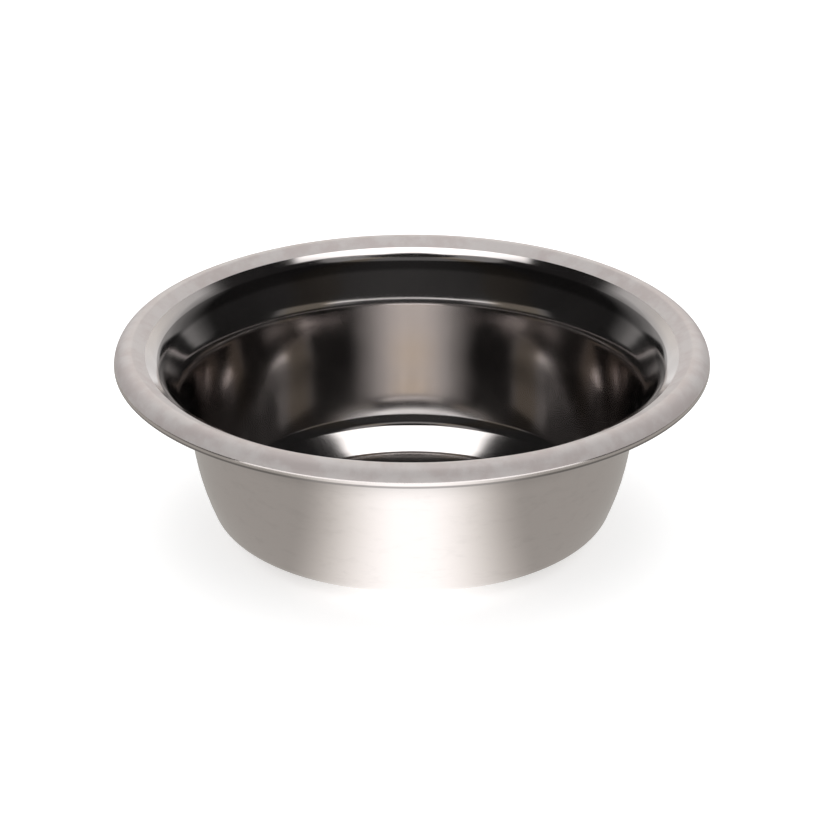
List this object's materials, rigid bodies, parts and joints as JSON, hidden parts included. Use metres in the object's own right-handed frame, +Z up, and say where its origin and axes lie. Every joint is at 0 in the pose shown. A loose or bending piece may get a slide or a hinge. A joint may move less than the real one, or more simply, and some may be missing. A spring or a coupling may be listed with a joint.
{
  "type": "pet bowl",
  "caption": "Round drawn stainless steel feeding bowl with leaning walls, a sloping ring round a flat base and a wide turned-down rim.",
  "frame": {"origin": "centre of the flat base, on the plane the bowl stands on", "axes": "+Z up along the axis the bowl is round about; X and Y are any two square directions, as the bowl is the same all round"},
  "size_m": [0.21, 0.21, 0.0696],
  "materials": {
    "stainless_steel": "mirror polish inside, soft polish outside, satin on the sloping rim face"
  },
  "bodies": {
    "root": {"bowl_shell": "stainless_steel"}
  },
  "joints": []
}
